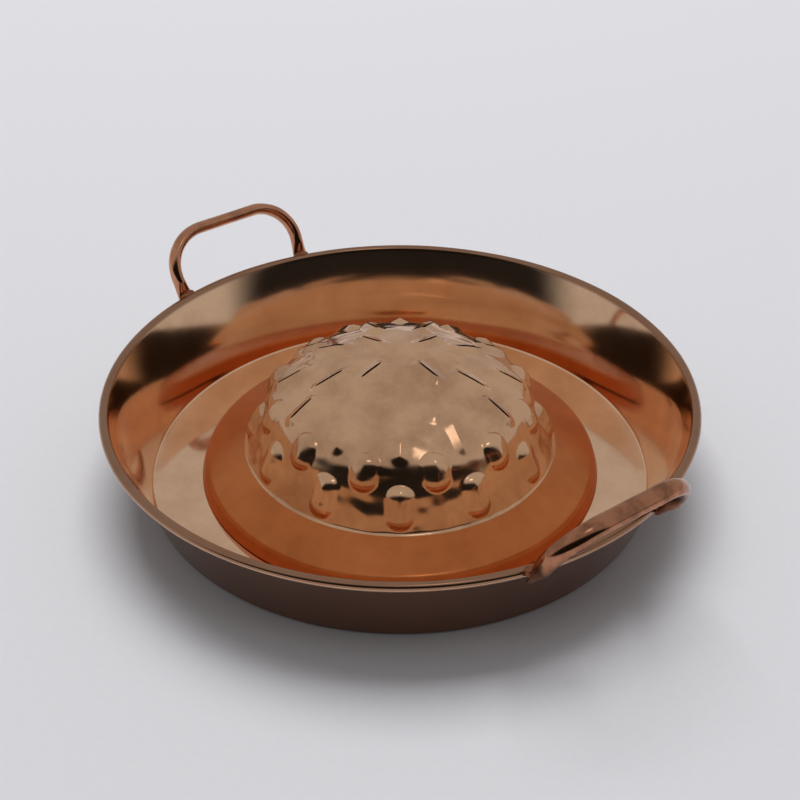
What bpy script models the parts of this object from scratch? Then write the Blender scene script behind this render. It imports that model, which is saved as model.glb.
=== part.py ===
"""Domed table-top grill pan: a flared sheet pan with two rod handles and a lift-out slotted dome.

Units are metres, +Z is up, the pan stands on the plane z = 0 and its handles lie on the X axis.
"""

import math
from typing import NamedTuple

import bmesh
import bpy
import numpy as np
from mathutils import Matrix, Vector

# Sheet and fits
PAN_SHEET = 0.0012
DOME_SHEET = 0.0012
FIT_GAP = 0.0003

# Pan
RIM_RADIUS = 0.1500
RIM_HEIGHT = 0.0459
WALL_FLARE = 0.0234
FLOOR_RADIUS = RIM_RADIUS - WALL_FLARE
CORNER_RADIUS = 0.0012
WALL_BOW = math.radians(2.5)
WALL_STEPS = 5
BEAD_RADIUS = 0.00235
CURL_END_ANGLE = math.radians(-125.0)
WIRE_GAP = 0.00035
WIRE_RADIUS = BEAD_RADIUS - PAN_SHEET - WIRE_GAP
PAN_STEPS = 72
WALL_CUT_DEPTH = 0.0080

# Handles; half sizes of the pressed rod are along and across the plane that a handle lies in
ROD_HALF_DEPTH = 0.0032
ROD_HALF_BREADTH = 0.0045
TOE_HALF_WIDTH = 0.0043
TOE_HALF_THICKNESS = 0.0017
TOE_LENGTH = 0.0120
TOE_OVERHANG = 0.0012
TOE_RADIUS = RIM_RADIUS + TOE_OVERHANG
TOE_DROP = 0.0019
TOE_HEIGHT = RIM_HEIGHT - TOE_DROP
TOE_HALF_SPAN = 0.0381
BAR_SPREAD = 0.0038
BAR_HALF_SPAN = TOE_HALF_SPAN + BAR_SPREAD
BAR_OVERHANG = 0.0134
BAR_DISTANCE = RIM_RADIUS + BAR_OVERHANG
BAR_RISE = 0.0288
BAR_HEIGHT = RIM_HEIGHT + BAR_RISE
KNEE_RADIUS = 0.0220
KNEE_STEPS = 9
TOE_STEPS = 5
ROD_ROUNDING = 4
BRAZE_RADIUS = 0.0044
BRAZE_RISE = 0.0036
BRAZE_LIFT = 0.0012
BRAZE_INSET = 0.0006
BRAZE_STEPS = 16

# Grill dome; its crown is part of an ellipse of a half span and a height that springs at the crease
DOME_TURN = math.radians(53.0)
DOME_SPAN = 0.0770
DOME_CROWN = 0.0505
SHOULDER_SHARE = 0.8117
SHOULDER_BEND = 0.0032
CREASE_STEP = 0.0015
CREASE_RADIUS = DOME_SPAN + CREASE_STEP
CREASE_HEIGHT = 0.0175
CREASE_BEND = 0.0020
DOME_TOP = CREASE_HEIGHT + DOME_CROWN
SKIRT_RUN = 0.0214
SKIRT_FALL = 0.0085
CREST_RADIUS = CREASE_RADIUS + SKIRT_RUN
CREST_HEIGHT = CREASE_HEIGHT - SKIRT_FALL
CREST_ROUND = 0.0022
EDGE_SPLAY = 0.0022
FOOT_RADIUS = CREST_RADIUS + EDGE_SPLAY
DOME_STEPS = 54

# Pressed bumps of the dome; depths are below the outside of its sheet
SLIT_WIDTH = 0.0012
SLIT_INSET = 0.0004
BUMP_SINK = DOME_SHEET / 2
HOLLOW_SINK = DOME_SHEET + 0.0008
HOLLOW_DROP = DOME_SHEET + 0.0001
SLIT_SINK = DOME_SHEET + 0.0018
CLOSED_SHARE = 0.55


class BumpRing(NamedTuple):
    """One ring of pressed bumps; its straight ridge runs between two shares of the crease radius."""

    name: str
    count: int
    first: float
    ridge_start: float
    ridge_end: float
    half_width: float
    height: float
    end_cap: float
    slit: bool
    closed: tuple[int, ...] = ()


BUMP_RINGS = (
    BumpRing("inner", 4, 45.0, 0.166, 0.331, 0.0050, 0.0023, 0.0042, True),
    BumpRing("second", 8, 22.5, 0.382, 0.560, 0.0050, 0.0023, 0.0042, True, (5, 6)),
    BumpRing("third", 12, 0.0, 0.618, 0.764, 0.0050, 0.0024, 0.0042, True, (8, 9, 10)),
    BumpRing("shoulder", 12, 15.0, 0.815, 0.856, 0.0070, 0.0030, 0.0064, False),
    BumpRing("flank", 12, 0.0, 0.907, 0.953, 0.0070, 0.0033, 0.0066, False),
)


class Handle(NamedTuple):
    """One handle: its name, its bearing on the pan and which of its own sides faces the back."""

    label: str
    turn: float
    back_side: int


HANDLES = (Handle("right", 0.0, 1), Handle("left", math.pi, -1))


def clear_scene():
    """Remove every object that a new file starts with."""
    for obj in list(bpy.data.objects):
        bpy.data.objects.remove(obj)


def make_collection(name):
    """Add a collection to the scene and return it."""
    collection = bpy.data.collections.new(name)
    bpy.context.scene.collection.children.link(collection)
    return collection


def make_material(name, color, roughness, metallic=1.0):
    """Make a Principled material from a linear colour."""
    material = bpy.data.materials.new(name)
    material.use_nodes = True
    shader = material.node_tree.nodes["Principled BSDF"]
    shader.inputs["Base Color"].default_value = (*color, 1.0)
    shader.inputs["Roughness"].default_value = roughness
    shader.inputs["Metallic"].default_value = metallic
    return material


def link_mesh(name, mesh, collection, material=None):
    """Wrap a mesh in an object inside a collection."""
    obj = bpy.data.objects.new(name, mesh)
    collection.objects.link(obj)
    if material is not None:
        mesh.materials.append(material)
    return obj


def hide_cutter(obj):
    """Keep a cutter out of the model."""
    obj.hide_render = True
    obj.display_type = "WIRE"


def turned(name, points, steps, collection, material=None, closed=False):
    """Turn a profile of (radius, height) points about the Z axis."""
    mesh = bpy.data.meshes.new(name)
    count = len(points)
    edges = [(i, i + 1) for i in range(count - 1)]
    if closed:
        edges.append((count - 1, 0))
    mesh.from_pydata([(radius, 0.0, height) for radius, height in points], edges, [])
    obj = link_mesh(name, mesh, collection, material)
    screw = obj.modifiers.new("turn", "SCREW")
    screw.axis = "Z"
    screw.angle = 2.0 * math.pi
    screw.steps = steps
    screw.render_steps = steps
    screw.use_merge_vertices = True
    screw.merge_threshold = 0.00001
    screw.use_smooth_shade = True
    return obj


def thicken(obj, thickness, offset):
    """Give a turned sheet its thickness."""
    solidify = obj.modifiers.new("sheet", "SOLIDIFY")
    solidify.thickness = thickness
    solidify.offset = offset
    solidify.use_even_offset = True
    solidify.use_quality_normals = True


def add_boolean(obj, other, operation):
    """Join or cut an object with another one."""
    boolean = obj.modifiers.new(other.name, "BOOLEAN")
    boolean.operation = operation
    boolean.object = other
    boolean.solver = "EXACT"


def arc(center, radius, start, end, count):
    """Points of a circular arc in the (radius, height) plane."""
    angles = np.linspace(start, end, count)
    return [(center[0] + radius * math.cos(a), center[1] + radius * math.sin(a)) for a in angles]


def bend(start, corner, end, count):
    """Points of a smooth parabolic bend that leaves start and meets end along the corner's lines."""
    points = []
    for t in np.linspace(0.0, 1.0, count):
        weights = ((1.0 - t) ** 2, 2.0 * t * (1.0 - t), t * t)
        points.append(tuple(sum(w * p[i] for w, p in zip(weights, (start, corner, end))) for i in (0, 1)))
    return points


def bead_center():
    """Centre of the rolled rim in the (radius, height) plane."""
    return (RIM_RADIUS - BEAD_RADIUS, RIM_HEIGHT)


def wall_leans():
    """Angles of the wall from upright at its rim and at its foot.

    They lie a little to either side of the common tangent of the corner and the curl.
    """
    bead = bead_center()
    run = (bead[0] - FLOOR_RADIUS, bead[1] - PAN_SHEET - CORNER_RADIUS)
    lean = math.atan2(*run) - math.asin((BEAD_RADIUS + CORNER_RADIUS) / math.hypot(*run))
    return lean + WALL_BOW, lean - WALL_BOW


def pan_profile():
    """Mid-line of the pan's sheet, from the end of the curl, over the rim and down to the centre."""
    bead = bead_center()
    curl_radius = BEAD_RADIUS - PAN_SHEET / 2
    corner = (FLOOR_RADIUS, PAN_SHEET + CORNER_RADIUS)
    corner_radius = CORNER_RADIUS + PAN_SHEET / 2
    rim_lean, foot_lean = wall_leans()
    curl = arc(bead, curl_radius, CURL_END_ANGLE, math.pi - rim_lean, 10)
    heel = arc(corner, corner_radius, -foot_lean, -math.pi / 2, 4)
    down = Vector((-math.sin(rim_lean), -math.cos(rim_lean)))
    up = Vector((math.sin(foot_lean), math.cos(foot_lean)))
    reach = (Vector(heel[0]) - Vector(curl[-1])).cross(up) / down.cross(up)
    wall = bend(curl[-1], Vector(curl[-1]) + down * reach, heel[0], WALL_STEPS)
    return curl + wall[1:-1] + heel + [(0.0, PAN_SHEET / 2)]


def build_pan(collection, copper):
    """The pan: floor, flared wall and the open curl of its rim in one sheet."""
    profile = pan_profile()
    pan = turned("pan_body", profile, PAN_STEPS, collection, copper)
    thicken(pan, PAN_SHEET, 0.0)
    return pan


def ring_profile(center, radius, count):
    """Closed profile of a round ring whose sides stand clear of the given radius."""
    return arc(center, radius, 0.0, 2.0 * math.pi * (1.0 - 1.0 / count), count)


def build_wire(collection, steel):
    """The wire that the rim is rolled round."""
    profile = ring_profile(bead_center(), WIRE_RADIUS, 6)
    return turned("rim_wire", profile[::-1], PAN_STEPS, collection, steel, closed=True)


def build_rim_cutter(cutters):
    """The rim bead and the top of the wall with their fit gap, for what is held to the rim."""
    center = bead_center()
    lean = wall_leans()[0]
    radius = BEAD_RADIUS + FIT_GAP
    outer_face = BEAD_RADIUS - PAN_SHEET - FIT_GAP
    start = math.acos(outer_face / radius) - math.pi - lean
    bead = arc(center, radius, start, math.pi - lean, 20)
    down = (-math.sin(lean) * WALL_CUT_DEPTH, -math.cos(lean) * WALL_CUT_DEPTH)
    inner = (bead[-1][0] + down[0], bead[-1][1] + down[1])
    outer = (bead[0][0] + down[0], bead[0][1] + down[1])
    profile = bead + [inner, outer]
    cutter = turned("rim_clearance", profile[::-1], PAN_STEPS, cutters, closed=True)
    hide_cutter(cutter)
    return cutter


def rounded_path(points, radius, count):
    """Replace the inner corners of a path by arcs."""
    path = [points[0]]
    for before, corner, after in zip(points, points[1:], points[2:]):
        into = (before - corner).normalized()
        out = (after - corner).normalized()
        half = into.angle(out) / 2.0
        middle = corner + (into + out).normalized() * radius / math.sin(half)
        first = corner + into * radius / math.tan(half) - middle
        last = corner + out * radius / math.tan(half) - middle
        sweep = math.pi - 2.0 * half
        for t in np.linspace(0.0, sweep, count):
            path.append(middle + (first * math.sin(sweep - t) + last * math.sin(t)) / math.sin(sweep))
    path.append(points[-1])
    return path


def toe_middle():
    """Point midway between the two toes, at the height of their lower ends."""
    return Vector((math.sqrt(TOE_RADIUS ** 2 - TOE_HALF_SPAN ** 2), 0.0, TOE_HEIGHT))


def leg_run():
    """Step from midway between the toes to the middle of the bar, in the handle's leaning plane."""
    return Vector((BAR_DISTANCE, 0.0, BAR_HEIGHT)) - toe_middle()


def handle_placement(handle):
    """Matrix from a handle drawn flat (X along the bar, Y up the legs) to its place on the pan."""
    along = Vector((0.0, 1.0, 0.0))
    up = leg_run().normalized()
    axes = Matrix((along, up, along.cross(up))).transposed().to_4x4()
    return Matrix.Rotation(handle.turn, 4, "Z") @ Matrix.Translation(toe_middle()) @ axes


def handle_path():
    """Centre line of a handle drawn flat, with extra points where its toes are pressed."""
    height = leg_run().length
    left = (Vector((-TOE_HALF_SPAN, 0.0, 0.0)), Vector((-BAR_HALF_SPAN, height, 0.0)))
    right = (Vector((BAR_HALF_SPAN, height, 0.0)), Vector((TOE_HALF_SPAN, 0.0, 0.0)))
    path = rounded_path([*left, *right], KNEE_RADIUS, KNEE_STEPS)
    steps = np.linspace(0.0, 1.0, TOE_STEPS)
    first_leg = [path[0].lerp(path[1], t) for t in steps]
    last_leg = [path[-2].lerp(path[-1], t) for t in steps]
    return first_leg + path[2:-2] + last_leg


def press_rod(mesh, grow):
    """Press a round rod that is drawn flat: oval along its bar, thin and wide at its toes."""
    radius = ROD_HALF_DEPTH + grow
    spread = (BAR_HALF_SPAN - TOE_HALF_SPAN) / leg_run().length
    for vertex in mesh.vertices:
        ramp = min(max(vertex.co.y / TOE_LENGTH, 0.0), 1.0)
        toe = 1.0 - ramp * ramp * (3.0 - 2.0 * ramp)
        depth = ROD_HALF_DEPTH + (TOE_HALF_WIDTH - ROD_HALF_DEPTH) * toe + grow
        breadth = ROD_HALF_BREADTH + (TOE_HALF_THICKNESS - ROD_HALF_BREADTH) * toe + grow
        middle = math.copysign(TOE_HALF_SPAN + spread * vertex.co.y, vertex.co.x)
        vertex.co.x = middle + (vertex.co.x - middle) * depth / radius
        vertex.co.z *= breadth / radius


def handle_mesh(name, handle, grow):
    """Mesh of one handle in its place, with a distance added all round its rod."""
    mesh = rod_mesh(name, handle_path(), ROD_HALF_DEPTH + grow)
    press_rod(mesh, grow)
    mesh.transform(handle_placement(handle))
    shade_round(mesh)
    mesh.materials.clear()
    return mesh


def rod_mesh(name, points, radius):
    """Mesh of a round rod along a path, with closed ends."""
    curve = bpy.data.curves.new(name, "CURVE")
    curve.dimensions = "3D"
    curve.bevel_depth = radius
    curve.bevel_resolution = ROD_ROUNDING
    curve.use_fill_caps = True
    spline = curve.splines.new("POLY")
    spline.points.add(len(points) - 1)
    for node, point in zip(spline.points, points):
        node.co = (*point, 1.0)
    rod = bpy.data.objects.new(name, curve)
    bpy.context.scene.collection.objects.link(rod)
    bpy.context.view_layer.update()
    evaluated = rod.evaluated_get(bpy.context.evaluated_depsgraph_get())
    mesh = bpy.data.meshes.new_from_object(evaluated)
    bpy.data.objects.remove(rod)
    weld_mesh(mesh)
    mesh.name = name
    return mesh


def weld_mesh(mesh):
    """Join loose end caps to their tube and turn all faces outward."""
    bm = bmesh.new()
    bm.from_mesh(mesh)
    bmesh.ops.remove_doubles(bm, verts=bm.verts, dist=0.00001)
    bmesh.ops.recalc_face_normals(bm, faces=bm.faces)
    bm.to_mesh(mesh)
    bm.free()


def shade_round(mesh):
    """Shade a round piece smooth with sharp edges at its corners."""
    mesh.shade_smooth()
    mesh.set_sharp_from_angle(angle=math.radians(40.0))


def build_handle(handle, collection, copper, rim_cutter):
    """One bent rod handle whose pressed toes lie against the outside of the rim bead."""
    name = handle.label + "_handle"
    rod = link_mesh(name, handle_mesh(name, handle, 0.0), collection, copper)
    add_boolean(rod, rim_cutter, "DIFFERENCE")
    return rod


def build_handle_cutter(handle, cutters):
    """A handle with its fit gap, for the brazes that lie against it."""
    name = handle.label + "_handle_clearance"
    cutter = link_mesh(name, handle_mesh(name, handle, FIT_GAP), cutters)
    hide_cutter(cutter)
    return cutter


def braze_profile():
    """Outline of a drop of braze before it is cut: a low dome with a flat underside."""
    profile = [(0.0, BRAZE_RISE)]
    for angle in np.linspace(math.radians(66.0), 0.0, 4):
        profile.append((BRAZE_RADIUS * math.cos(angle), BRAZE_RISE * math.sin(angle)))
    return profile + [(0.0, 0.0)]


def build_braze(name, handle, side, collection, metal, handle_cutter, rim_cutter):
    """The braze that fills the notch between one leg and the top of the rim bead."""
    braze = turned(name, braze_profile(), BRAZE_STEPS, collection, metal)
    toe = toe_middle() + Vector((0.0, side * TOE_HALF_SPAN, 0.0))
    place = Matrix.Rotation(handle.turn, 4, "Z") @ toe * ((RIM_RADIUS - BRAZE_INSET) / TOE_RADIUS)
    braze.location = (place.x, place.y, RIM_HEIGHT + BRAZE_LIFT)
    add_boolean(braze, handle_cutter, "DIFFERENCE")
    add_boolean(braze, rim_cutter, "DIFFERENCE")
    return braze


def dome_meridian(crown_count, bend_count, flank_count):
    """Outside of the dome from its top to its base crease as (radius, height) points."""
    shoulder = math.acos(SHOULDER_SHARE)
    points = []
    for angle in np.linspace(math.pi / 2, shoulder, crown_count):
        height = CREASE_HEIGHT + DOME_CROWN * math.sin(angle)
        points.append((max(DOME_SPAN * math.cos(angle), 0.0), height))
    points[0] = (0.0, DOME_TOP)
    start = Vector(points[-1])
    fall = math.atan2(DOME_CROWN * math.cos(shoulder), DOME_SPAN * math.sin(shoulder))
    leave = Vector((math.cos(fall), -math.sin(fall)))
    crease = Vector((CREASE_RADIUS, CREASE_HEIGHT))
    corner = start + leave * SHOULDER_BEND
    turned_in = corner + (crease - corner).normalized() * SHOULDER_BEND
    points += bend(start, corner, turned_in, bend_count)[1:]
    points += [tuple(turned_in.lerp(crease, t)) for t in np.linspace(0.0, 1.0, flank_count)[1:]]
    return points


def dome_profile():
    """Outside of the whole dome sheet: crown, flank, sloping skirt, crest and turned-down edge."""
    upper = dome_meridian(7, 3, 3)
    crease = Vector(upper[-1])
    flank = (crease - Vector(upper[-2])).normalized()
    skirt = Vector((SKIRT_RUN, -SKIRT_FALL)).normalized()
    crease_bend = bend(crease - flank * CREASE_BEND, crease, crease + skirt * CREASE_BEND, 4)
    crest = Vector((CREST_RADIUS, CREST_HEIGHT))
    floor = PAN_SHEET + FIT_GAP
    splay = math.atan2(FOOT_RADIUS - CREST_RADIUS, CREST_HEIGHT - floor)
    foot = Vector((FOOT_RADIUS, floor + DOME_SHEET * math.sin(splay)))
    edge = (foot - crest).normalized()
    crest_bend = bend(crest - skirt * CREST_ROUND, crest, crest + edge * CREST_ROUND, 4)
    return upper[:-1] + crease_bend + crest_bend + [tuple(foot)]


class Meridian:
    """Places on the dome's outside by the length run from its top."""

    def __init__(self):
        self.points = np.array(dome_meridian(120, 40, 60))
        steps = np.hypot(*np.diff(self.points, axis=0).T)
        self.lengths = np.concatenate(([0.0], np.cumsum(steps)))

    def length_at(self, radius):
        """Length run from the top to a plan radius."""
        return float(np.interp(radius, self.points[:, 0], self.lengths))

    def place(self, length):
        """Plan radius and height at a length."""
        columns = (self.points[:, 0], self.points[:, 1])
        return np.array([np.interp(length, self.lengths, column) for column in columns])

    def point(self, length, across, out):
        """Point beside and off the surface, in the meridian plane y = 0."""
        nudge = 0.0005
        along = self.place(length + nudge) - self.place(length - nudge)
        along /= np.hypot(*along)
        radius, height = self.place(length) + out * np.array([-along[1], along[0]])
        return Vector((radius, across, height))


def loft(bm, sections, turn):
    """Skin equal cross-sections into one closed body; a section of one point closes an end."""
    rotation = Matrix.Rotation(turn, 4, "Z")
    rings = [[bm.verts.new(rotation @ point) for point in section] for section in sections]
    faces = []
    for near, far in zip(rings, rings[1:]):
        count = max(len(near), len(far))
        for i in range(count):
            j = (i + 1) % count
            corners = [near[i % len(near)], near[j % len(near)], far[j % len(far)], far[i % len(far)]]
            unique = list(dict.fromkeys(corners))
            faces.append(bm.faces.new(unique))
    for ring in (rings[0], rings[-1]):
        if len(ring) > 2:
            faces.append(bm.faces.new(ring))
    bmesh.ops.recalc_face_normals(bm, faces=faces)
    bmesh.ops.triangulate(bm, faces=faces)


def bump_sections(meridian, ring, share, lower, sink):
    """Cross-sections of one tent-shaped bump of a share of its height, lowered and closed at a depth."""
    height = ring.height * share
    start = meridian.length_at(ring.ridge_start * CREASE_RADIUS)
    end = meridian.length_at(ring.ridge_end * CREASE_RADIUS)
    grow = 1.0 + (sink - lower) / height
    caps = [grow, grow * 0.7, 0.0]
    stations = [(start - cap * ring.end_cap, cap) for cap in caps]
    if ring.slit:
        stations.append(((start + end) / 2, 0.0))
    stations += [(end + cap * ring.end_cap, cap) for cap in reversed(caps)]
    sections = []
    for length, cap in stations:
        width = ring.half_width * math.sqrt(max(grow * grow - cap * cap, 0.0))
        top = height * (1.0 - cap) - lower
        if width < 1e-6:
            sections.append([meridian.point(length, 0.0, -sink)])
            continue
        left = meridian.point(length, -width, -sink)
        right = meridian.point(length, width, -sink)
        sections.append([left, right, meridian.point(length, 0.0, top)])
    return sections


def slit_sections(meridian, ring):
    """Cross-sections of the slit along one bump's ridge."""
    start = meridian.length_at(ring.ridge_start * CREASE_RADIUS) + SLIT_INSET
    end = meridian.length_at(ring.ridge_end * CREASE_RADIUS) - SLIT_INSET
    half = SLIT_WIDTH / 2
    sections = []
    for length in np.linspace(start, end, 4):
        low = [meridian.point(length, across, -SLIT_SINK) for across in (-half, half)]
        high = [meridian.point(length, across, 2 * ring.height) for across in (half, -half)]
        sections.append(low + high)
    return sections


def ring_cutter(name, ring, shapes, cutters):
    """Repeat a body round the dome; shapes holds the sections of each bump in turn, or None."""
    mesh = bpy.data.meshes.new(name)
    bm = bmesh.new()
    for index, sections in enumerate(shapes):
        if sections:
            loft(bm, sections, DOME_TURN + math.radians(ring.first + index * 360.0 / ring.count))
    bm.to_mesh(mesh)
    bm.free()
    cutter = link_mesh(name, mesh, cutters)
    hide_cutter(cutter)
    return cutter


def press_bumps(dome, suffix, operation, lower, sink, meridian, cutters):
    """Join or cut every ring's tents; bumps that have no slit are pressed less high."""
    for ring in BUMP_RINGS:
        shares = [CLOSED_SHARE if index in ring.closed else 1.0 for index in range(ring.count)]
        shapes = [bump_sections(meridian, ring, share, lower, sink) for share in shares]
        add_boolean(dome, ring_cutter(ring.name + suffix, ring, shapes, cutters), operation)


def build_dome(collection, cutters, copper):
    """The slotted dome: one pressed sheet with hollow bumps, slit open in the three upper rings."""
    dome = turned("grill_dome", dome_profile(), DOME_STEPS, collection, copper)
    thicken(dome, DOME_SHEET, -1.0)
    meridian = Meridian()
    press_bumps(dome, "_bumps", "UNION", 0.0, BUMP_SINK, meridian, cutters)
    press_bumps(dome, "_hollows", "DIFFERENCE", HOLLOW_DROP, HOLLOW_SINK, meridian, cutters)
    for ring in BUMP_RINGS:
        if ring.slit:
            sections = slit_sections(meridian, ring)
            shapes = [None if index in ring.closed else sections for index in range(ring.count)]
            add_boolean(dome, ring_cutter(ring.name + "_slits", ring, shapes, cutters), "DIFFERENCE")
    return dome


def main():
    """Build every piece of the grill pan."""
    clear_scene()
    collection = make_collection("grill_pan")
    cutters = make_collection("cutters")
    sheet_copper = make_material("pan_copper", (0.77, 0.40, 0.22), 0.16)
    dome_copper = make_material("dome_copper", (0.74, 0.38, 0.21), 0.24)
    rod_copper = make_material("handle_copper", (0.58, 0.26, 0.13), 0.28)
    braze_metal = make_material("braze_copper", (0.45, 0.22, 0.12), 0.35)
    wire_steel = make_material("wire_steel", (0.42, 0.42, 0.43), 0.35)
    build_pan(collection, sheet_copper)
    build_wire(collection, wire_steel)
    rim_cutter = build_rim_cutter(cutters)
    for handle in HANDLES:
        build_handle(handle, collection, rod_copper, rim_cutter)
        handle_cutter = build_handle_cutter(handle, cutters)
        for place, side in (("front", -handle.back_side), ("back", handle.back_side)):
            name = f"{handle.label}_handle_{place}_braze"
            build_braze(name, handle, side, collection, braze_metal, handle_cutter, rim_cutter)
    build_dome(collection, cutters, dome_copper)


main()
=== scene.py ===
"""Domed copper grill pan: fine sheet-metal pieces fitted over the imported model, on a pale studio floor."""

import logging
import math
from dataclasses import dataclass, field
from enum import Enum

import bpy
import numpy as np
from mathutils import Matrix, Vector


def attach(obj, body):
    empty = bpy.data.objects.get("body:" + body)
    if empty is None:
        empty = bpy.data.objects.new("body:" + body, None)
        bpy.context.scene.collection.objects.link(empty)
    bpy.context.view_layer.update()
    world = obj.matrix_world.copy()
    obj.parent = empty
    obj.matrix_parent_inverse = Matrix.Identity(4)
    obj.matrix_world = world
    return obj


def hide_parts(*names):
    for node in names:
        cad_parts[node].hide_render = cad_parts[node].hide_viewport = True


MM = 0.001
TURN = 2.0 * math.pi
SHEET_WAVELENGTH = 0.055
LOG = logging.getLogger("grill_pan")

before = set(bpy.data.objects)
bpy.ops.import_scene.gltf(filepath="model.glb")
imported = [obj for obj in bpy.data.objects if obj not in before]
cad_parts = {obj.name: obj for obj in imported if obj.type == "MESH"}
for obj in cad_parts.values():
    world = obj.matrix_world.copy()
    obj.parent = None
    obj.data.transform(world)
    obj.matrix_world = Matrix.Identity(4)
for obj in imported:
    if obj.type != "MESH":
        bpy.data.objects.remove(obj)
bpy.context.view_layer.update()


class Body(Enum):
    """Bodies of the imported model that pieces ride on."""

    PAN = "pan"
    DOME = "dome"


class Slot(Enum):
    """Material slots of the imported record."""

    PAN_COPPER = "pan_copper"
    DOME_COPPER = "dome_copper"
    HANDLE_COPPER = "handle_copper"
    BRAZE = "braze_copper"


class BumpForm(Enum):
    """Ways that the punch shaped a bump."""

    SLIT_TENT = "slit_tent"
    PILL = "pill"
    CREASED_PILL = "creased_pill"


# Numbers and grids


def smooth_step(value: np.ndarray, low: float, high: float) -> np.ndarray:
    """Rise from 0 at low to 1 at high along 3t^2 - 2t^3.

    Args:
        value: Numbers to map.
        low: Where the rise starts.
        high: Where it ends.

    Returns:
        The mapped numbers.
    """
    t = np.clip((value - low) / (high - low), 0.0, 1.0)
    return t * t * (3.0 - 2.0 * t)


def soft_ramp(value: np.ndarray, softness: float) -> np.ndarray:
    """Follow value where it is positive and 0 where it is negative, half of (v + sqrt(v^2 + s^2)).

    Args:
        value: Numbers to map.
        softness: Width of the bend between the two branches.

    Returns:
        The mapped numbers.
    """
    return 0.5 * (value + np.sqrt(value * value + softness * softness))


def ripple(points: np.ndarray, wavelength: float, seed: int, waves: int = 14) -> np.ndarray:
    """Even random waviness: a sum of plane cosines of one wavelength in seeded directions.

    Args:
        points: Places, with x, y, z in the last axis.
        wavelength: Distance between crests in metres.
        seed: Seed of the directions and phases.
        waves: Number of cosines.

    Returns:
        Values of about -1 to 1 at the places.
    """
    source = np.random.default_rng(seed)
    directions = source.normal(size=(waves, 3))
    directions /= np.linalg.norm(directions, axis=1, keepdims=True)
    phases = source.uniform(0.0, TURN, waves)
    angles = np.tensordot(points, directions, axes=(-1, 1)) * (TURN / wavelength) + phases
    return np.cos(angles).sum(axis=-1) / math.sqrt(waves)


def arc(center: tuple[float, float], radius: float, start: float, end: float, count: int) -> np.ndarray:
    """Points of an arc in the (radius, height) plane, center + radius (cos a, sin a).

    Args:
        center: Centre of the arc.
        radius: Radius of the arc.
        start: First angle in radians.
        end: Last angle in radians.
        count: Number of points.

    Returns:
        Points as rows.
    """
    angles = np.linspace(start, end, count)
    return np.stack([center[0] + radius * np.cos(angles), center[1] + radius * np.sin(angles)], axis=1)


def parabola(start: np.ndarray, corner: np.ndarray, end: np.ndarray, count: int) -> np.ndarray:
    """Points of (1-t)^2 start + 2t(1-t) corner + t^2 end.

    Args:
        start: Where the curve leaves.
        corner: Where its end tangents cross.
        end: Where it arrives.
        count: Number of points.

    Returns:
        Points as rows.
    """
    t = np.linspace(0.0, 1.0, count)[:, None]
    return (1 - t) ** 2 * np.asarray(start) + 2 * t * (1 - t) * np.asarray(corner) + t * t * np.asarray(end)


def run_lengths(points: np.ndarray) -> np.ndarray:
    """Length run along a line of points, from its first one."""
    steps = np.linalg.norm(np.diff(points, axis=0), axis=1)
    return np.concatenate(([0.0], np.cumsum(steps)))


def respaced(points: np.ndarray, step: float) -> np.ndarray:
    """The same line with points about one step apart."""
    lengths = run_lengths(points)
    places = np.linspace(0.0, lengths[-1], max(int(round(lengths[-1] / step)), 2) + 1)
    return np.stack([np.interp(places, lengths, points[:, i]) for i in range(points.shape[1])], axis=1)


def side_normals(points: np.ndarray) -> np.ndarray:
    """Unit normals on the left of a plane line of points."""
    along = np.gradient(points, axis=0)
    along /= np.linalg.norm(along, axis=1, keepdims=True)
    return np.stack([-along[:, 1], along[:, 0]], axis=1)


def mesh_object(
    name: str, points: np.ndarray, faces: list[np.ndarray], sharp: float = 35.0
) -> bpy.types.Object:
    """Make a smooth-shaded object from vertex and face arrays.

    Args:
        name: Name of the piece.
        points: Vertices as rows.
        faces: Arrays of faces, one row a face, one array for each number of corners.
        sharp: Angle in degrees past which an edge is shaded sharp.

    Returns:
        The linked object.
    """
    corners = np.concatenate([block.ravel() for block in faces]).astype(np.int32)
    totals = np.concatenate([np.full(len(block), block.shape[1]) for block in faces]).astype(np.int32)
    mesh = bpy.data.meshes.new(name)
    mesh.vertices.add(len(points))
    mesh.vertices.foreach_set("co", np.ascontiguousarray(points, dtype=np.float32).ravel())
    mesh.loops.add(len(corners))
    mesh.loops.foreach_set("vertex_index", corners)
    mesh.polygons.add(len(totals))
    mesh.polygons.foreach_set("loop_start", np.concatenate(([0], np.cumsum(totals)[:-1])).astype(np.int32))
    mesh.polygons.foreach_set("loop_total", totals)
    mesh.update(calc_edges=True)
    mesh.validate()
    mesh.shade_smooth()
    mesh.set_sharp_from_angle(angle=math.radians(sharp))
    obj = bpy.data.objects.new(name, mesh)
    bpy.context.scene.collection.objects.link(obj)
    return obj


def ring_faces(rows: int, columns: int, closed: bool) -> np.ndarray:
    """Quads of a grid of rows round an axis, whose columns join up.

    Args:
        rows: Number of rows of vertices.
        columns: Number of vertices in a row.
        closed: Whether the last row joins the first.

    Returns:
        Quads as rows, row i and column j at i * columns + j.
    """
    last = rows if closed else rows - 1
    i, j = np.meshgrid(np.arange(last), np.arange(columns), indexing="ij")
    below, beside = (i + 1) % rows, (j + 1) % columns
    quads = [i * columns + j, below * columns + j, below * columns + beside, i * columns + beside]
    return np.stack(quads, axis=-1).reshape(-1, 4)


def pole_faces(pole: int, first: int, columns: int, top: bool) -> np.ndarray:
    """Triangles between a pole vertex and the row that starts at index first."""
    j = np.arange(columns)
    near, far = first + j, first + (j + 1) % columns
    order = [np.full(columns, pole), near, far] if top else [np.full(columns, pole), far, near]
    return np.stack(order, axis=1)


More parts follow.
